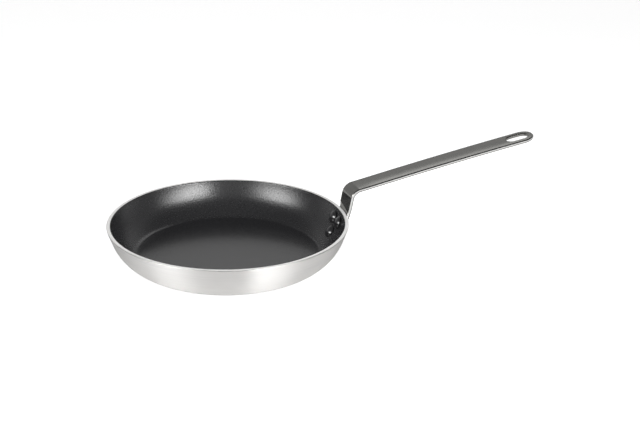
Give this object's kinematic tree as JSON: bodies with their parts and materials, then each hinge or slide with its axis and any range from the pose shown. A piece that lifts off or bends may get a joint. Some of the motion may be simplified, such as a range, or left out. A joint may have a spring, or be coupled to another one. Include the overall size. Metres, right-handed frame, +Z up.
{
  "type": "frying pan",
  "caption": "Shallow round frying pan with a flat base, flared curved wall, dark non-stick lining and a long flat strip handle riveted to the wall and ending in a hanging slot.",
  "frame": {"origin": "centre of the flat underside, on the axis of the bowl", "axes": "+Z up along the axis of the bowl, +X along the handle, away from the bowl"},
  "size_m": [0.5147, 0.2792, 0.1152],
  "materials": {
    "turned_aluminium": "bare, turned on the outside with fine lines round the axis",
    "nonstick_coating": "satin black with fine pale specks",
    "strip_steel": "smooth satin steel",
    "black_rivet": "glossy black"
  },
  "bodies": {
    "root": {"pan_body": "turned_aluminium", "nonstick_lining": "nonstick_coating", "handle": "strip_steel", "rivet_upper_left": "black_rivet", "rivet_upper_right": "black_rivet", "rivet_lower": "black_rivet"}
  },
  "joints": []
}
